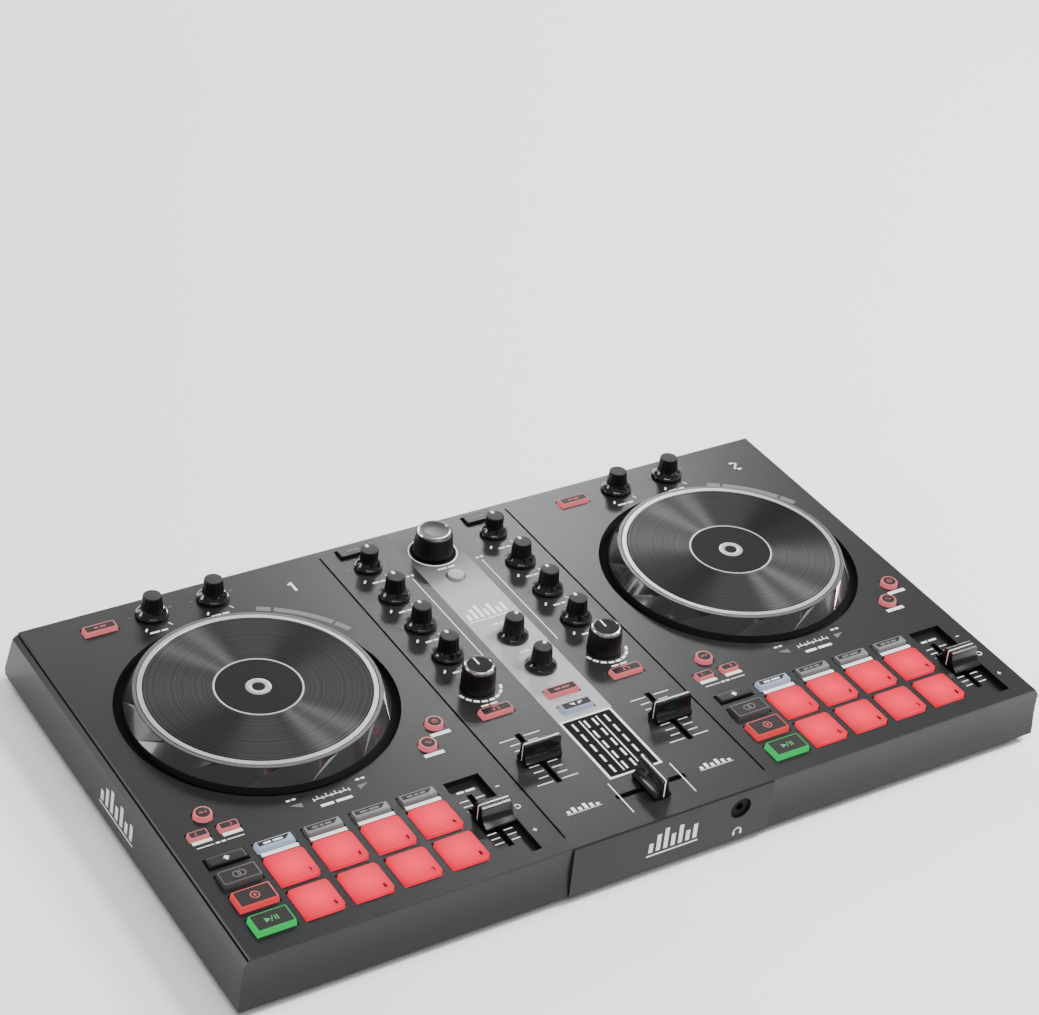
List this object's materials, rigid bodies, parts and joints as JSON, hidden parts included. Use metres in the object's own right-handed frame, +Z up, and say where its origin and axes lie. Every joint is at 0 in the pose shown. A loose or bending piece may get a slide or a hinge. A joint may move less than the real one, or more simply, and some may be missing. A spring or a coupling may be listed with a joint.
{
  "type": "dj controller",
  "caption": "Flat two-deck DJ controller: jog wheels in round wells, mixer strip with knobs and faders, lit performance pads and keys over one board.",
  "frame": {"origin": "middle of the footprint, on the surface that the feet stand on", "axes": "+X to the right deck, +Y to the back with the sockets, +Z up through the jog wheels' axes"},
  "size_m": [0.402, 0.236, 0.0437],
  "materials": {
    "case": "fine matte texture",
    "tray": "matte",
    "strip": "satin silver",
    "window": "gloss",
    "feet": "matte",
    "steel": "satin",
    "board": "satin",
    "parts": "satin",
    "wheel": "high gloss",
    "touch": "grooved, satin",
    "knob": "satin",
    "fader": "semi-gloss",
    "key_dark": "satin",
    "key_red": "translucent, lit",
    "key_green": "translucent, lit",
    "key_grey": "satin",
    "pad": "translucent silicone, lit"
  },
  "bodies": {
    "case": {"top_case": "case", "bottom_case": "tray", "centre_plate": "strip", "meter_window": "window", "rubber_feet": "feet", "case_screws": "steel", "main_board": "board", "jog_spindles": "steel", "pot_housings": "parts", "fader_housings": "parts", "key_switches": "parts", "sockets": "parts"},
    "left_jog": {"left_jog_wheel": "wheel", "left_touch_plate": "touch"},
    "right_jog": {"right_jog_wheel": "wheel", "right_touch_plate": "touch"},
    "left_fx_depth": {"left_fx_depth_knob": "knob"},
    "left_fx_beat": {"left_fx_beat_knob": "knob"},
    "left_gain": {"left_gain_knob": "knob"},
    "left_high": {"left_high_knob": "knob"},
    "left_mid": {"left_mid_knob": "knob"},
    "left_low": {"left_low_knob": "knob"},
    "left_filter": {"left_filter_knob": "knob"},
    "right_fx_depth": {"right_fx_depth_knob": "knob"},
    "right_fx_beat": {"right_fx_beat_knob": "knob"},
    "right_gain": {"right_gain_knob": "knob"},
    "right_high": {"right_high_knob": "knob"},
    "right_mid": {"right_mid_knob": "knob"},
    "right_low": {"right_low_knob": "knob"},
    "right_filter": {"right_filter_knob": "knob"},
    "master_volume": {"master_volume_knob": "knob"},
    "headphone_volume": {"headphone_volume_knob": "knob"},
    "browse_push": {"browse_shaft": "steel"},
    "browse": {"browse_knob": "knob"},
    "left_tempo": {"left_tempo_fader": "fader"},
    "right_tempo": {"right_tempo_fader": "fader"},
    "left_volume": {"left_volume_fader": "fader"},
    "right_volume": {"right_volume_fader": "fader"},
    "crossfade": {"crossfader": "fader"},
    "left_play": {"left_play_key": "key_green"},
    "right_play": {"right_play_key": "key_green"},
    "left_cue": {"left_cue_key": "key_red"},
    "right_cue": {"right_cue_key": "key_red"},
    "left_sync": {"left_sync_key": "key_grey"},
    "right_sync": {"right_sync_key": "key_grey"},
    "left_shift": {"left_shift_key": "key_dark"},
    "right_shift": {"right_shift_key": "key_dark"},
    "left_pads": {"left_pads": "pad"},
    "right_pads": {"right_pads": "pad"},
    "left_mode_bank": {"left_mode_keys": "key_grey"},
    "right_mode_bank": {"right_mode_keys": "key_grey"},
    "left_loop_bank": {"left_loop_keys": "key_red"},
    "right_loop_bank": {"right_loop_keys": "key_red"},
    "left_deck_bank": {"left_deck_keys": "key_red"},
    "right_deck_bank": {"right_deck_keys": "key_red"},
    "left_fx": {"left_fx_key": "key_red"},
    "right_fx": {"right_fx_key": "key_red"},
    "channel_bank": {"channel_keys": "key_red"},
    "assistant": {"assistant_key": "key_grey"},
    "monitor_bank": {"monitor_keys": "key_red"}
  },
  "joints": [
    {"name": "left_jog_spin", "type": "hinge", "parent": "case", "child": "left_jog", "pos_m": [-0.124, 0.0216, 0.03], "axis": [0, 0, 1], "continuous": true},
    {"name": "right_jog_spin", "type": "hinge", "parent": "case", "child": "right_jog", "pos_m": [0.124, 0.0216, 0.03], "axis": [0, 0, 1], "continuous": true},
    {"name": "left_fx_depth_turn", "type": "hinge", "parent": "case", "child": "left_fx_depth", "pos_m": [-0.1387, 0.0973, 0.03], "axis": [0, 0, 1], "range_deg": [-140, 140]},
    {"name": "left_fx_beat_turn", "type": "hinge", "parent": "case", "child": "left_fx_beat", "pos_m": [-0.1087, 0.0973, 0.03], "axis": [0, 0, 1], "range_deg": [-140, 140]},
    {"name": "left_gain_turn", "type": "hinge", "parent": "case", "child": "left_gain", "pos_m": [-0.0331, 0.0894, 0.03], "axis": [0, 0, 1], "range_deg": [-140, 140]},
    {"name": "left_high_turn", "type": "hinge", "parent": "case", "child": "left_high", "pos_m": [-0.0331, 0.0646, 0.03], "axis": [0, 0, 1], "range_deg": [-140, 140]},
    {"name": "left_mid_turn", "type": "hinge", "parent": "case", "child": "left_mid", "pos_m": [-0.0331, 0.0402, 0.03], "axis": [0, 0, 1], "range_deg": [-140, 140]},
    {"name": "left_low_turn", "type": "hinge", "parent": "case", "child": "left_low", "pos_m": [-0.0331, 0.0158, 0.03], "axis": [0, 0, 1], "range_deg": [-140, 140]},
    {"name": "left_filter_turn", "type": "hinge", "parent": "case", "child": "left_filter", "pos_m": [-0.0323, -0.009, 0.03], "axis": [0, 0, 1], "range_deg": [-140, 140]},
    {"name": "right_fx_depth_turn", "type": "hinge", "parent": "case", "child": "right_fx_depth", "pos_m": [0.1093, 0.0973, 0.03], "axis": [0, 0, 1], "range_deg": [-140, 140]},
    {"name": "right_fx_beat_turn", "type": "hinge", "parent": "case", "child": "right_fx_beat", "pos_m": [0.1393, 0.0973, 0.03], "axis": [0, 0, 1], "range_deg": [-140, 140]},
    {"name": "right_gain_turn", "type": "hinge", "parent": "case", "child": "right_gain", "pos_m": [0.0345, 0.0894, 0.03], "axis": [0, 0, 1], "range_deg": [-140, 140]},
    {"name": "right_high_turn", "type": "hinge", "parent": "case", "child": "right_high", "pos_m": [0.0345, 0.0646, 0.03], "axis": [0, 0, 1], "range_deg": [-140, 140]},
    {"name": "right_mid_turn", "type": "hinge", "parent": "case", "child": "right_mid", "pos_m": [0.0345, 0.0402, 0.03], "axis": [0, 0, 1], "range_deg": [-140, 140]},
    {"name": "right_low_turn", "type": "hinge", "parent": "case", "child": "right_low", "pos_m": [0.0345, 0.0158, 0.03], "axis": [0, 0, 1], "range_deg": [-140, 140]},
    {"name": "right_filter_turn", "type": "hinge", "parent": "case", "child": "right_filter", "pos_m": [0.0337, -0.009, 0.03], "axis": [0, 0, 1], "range_deg": [-140, 140]},
    {"name": "master_volume_turn", "type": "hinge", "parent": "case", "child": "master_volume", "pos_m": [0.0008, 0.0158, 0.03], "axis": [0, 0, 1], "range_deg": [-140, 140]},
    {"name": "headphone_volume_turn", "type": "hinge", "parent": "case", "child": "headphone_volume", "pos_m": [0.0008, -0.0083, 0.03], "axis": [0, 0, 1], "range_deg": [-140, 140]},
    {"name": "browse_press", "type": "slide", "parent": "case", "child": "browse_push", "axis": [0, 0, -1], "range_m": [0, 0.0008], "stiffness_N_per_m": 2500},
    {"name": "browse_turn", "type": "hinge", "parent": "browse_push", "child": "browse", "pos_m": [0.0006, 0.0882, 0.03], "axis": [0, 0, 1], "continuous": true},
    {"name": "left_tempo_slide", "type": "slide", "parent": "case", "child": "left_tempo", "axis": [0, 1, 0], "range_m": [-0.015, 0.015]},
    {"name": "right_tempo_slide", "type": "slide", "parent": "case", "child": "right_tempo", "axis": [0, 1, 0], "range_m": [-0.015, 0.015]},
    {"name": "left_volume_slide", "type": "slide", "parent": "case", "child": "left_volume", "axis": [0, 1, 0], "range_m": [-0.015, 0.015]},
    {"name": "right_volume_slide", "type": "slide", "parent": "case", "child": "right_volume", "axis": [0, 1, 0], "range_m": [-0.015, 0.015]},
    {"name": "crossfade_slide", "type": "slide", "parent": "case", "child": "crossfade", "axis": [1, 0, 0], "range_m": [-0.015, 0.015]},
    {"name": "left_play_press", "type": "slide", "parent": "case", "child": "left_play", "axis": [0, 0, -1], "range_m": [0, 0.0008], "stiffness_N_per_m": 2000},
    {"name": "right_play_press", "type": "slide", "parent": "case", "child": "right_play", "axis": [0, 0, -1], "range_m": [0, 0.0008], "stiffness_N_per_m": 2000},
    {"name": "left_cue_press", "type": "slide", "parent": "case", "child": "left_cue", "axis": [0, 0, -1], "range_m": [0, 0.0008], "stiffness_N_per_m": 2000},
    {"name": "right_cue_press", "type": "slide", "parent": "case", "child": "right_cue", "axis": [0, 0, -1], "range_m": [0, 0.0008], "stiffness_N_per_m": 2000},
    {"name": "left_sync_press", "type": "slide", "parent": "case", "child": "left_sync", "axis": [0, 0, -1], "range_m": [0, 0.0008], "stiffness_N_per_m": 2000},
    {"name": "right_sync_press", "type": "slide", "parent": "case", "child": "right_sync", "axis": [0, 0, -1], "range_m": [0, 0.0008], "stiffness_N_per_m": 2000},
    {"name": "left_shift_press", "type": "slide", "parent": "case", "child": "left_shift", "axis": [0, 0, -1], "range_m": [0, 0.0008], "stiffness_N_per_m": 2000},
    {"name": "right_shift_press", "type": "slide", "parent": "case", "child": "right_shift", "axis": [0, 0, -1], "range_m": [0, 0.0008], "stiffness_N_per_m": 2000},
    {"name": "left_pads_press", "type": "slide", "parent": "case", "child": "left_pads", "axis": [0, 0, -1], "range_m": [0, 0.0008], "stiffness_N_per_m": 2000},
    {"name": "right_pads_press", "type": "slide", "parent": "case", "child": "right_pads", "axis": [0, 0, -1], "range_m": [0, 0.0008], "stiffness_N_per_m": 2000},
    {"name": "left_mode_bank_press", "type": "slide", "parent": "case", "child": "left_mode_bank", "axis": [0, 0, -1], "range_m": [0, 0.0008], "stiffness_N_per_m": 2000},
    {"name": "right_mode_bank_press", "type": "slide", "parent": "case", "child": "right_mode_bank", "axis": [0, 0, -1], "range_m": [0, 0.0008], "stiffness_N_per_m": 2000},
    {"name": "left_loop_bank_press", "type": "slide", "parent": "case", "child": "left_loop_bank", "axis": [0, 0, -1], "range_m": [0, 0.0008], "stiffness_N_per_m": 2000},
    {"name": "right_loop_bank_press", "type": "slide", "parent": "case", "child": "right_loop_bank", "axis": [0, 0, -1], "range_m": [0, 0.0008], "stiffness_N_per_m": 2000},
    {"name": "left_deck_bank_press", "type": "slide", "parent": "case", "child": "left_deck_bank", "axis": [0, 0, -1], "range_m": [0, 0.0008], "stiffness_N_per_m": 2000},
    {"name": "right_deck_bank_press", "type": "slide", "parent": "case", "child": "right_deck_bank", "axis": [0, 0, -1], "range_m": [0, 0.0008], "stiffness_N_per_m": 2000},
    {"name": "left_fx_press", "type": "slide", "parent": "case", "child": "left_fx", "axis": [0, 0, -1], "range_m": [0, 0.0008], "stiffness_N_per_m": 2000},
    {"name": "right_fx_press", "type": "slide", "parent": "case", "child": "right_fx", "axis": [0, 0, -1], "range_m": [0, 0.0008], "stiffness_N_per_m": 2000},
    {"name": "channel_bank_press", "type": "slide", "parent": "case", "child": "channel_bank", "axis": [0, 0, -1], "range_m": [0, 0.0008], "stiffness_N_per_m": 2000},
    {"name": "assistant_press", "type": "slide", "parent": "case", "child": "assistant", "axis": [0, 0, -1], "range_m": [0, 0.0008], "stiffness_N_per_m": 2000},
    {"name": "monitor_bank_press", "type": "slide", "parent": "case", "child": "monitor_bank", "axis": [0, 0, -1], "range_m": [0, 0.0008], "stiffness_N_per_m": 2000}
  ]
}
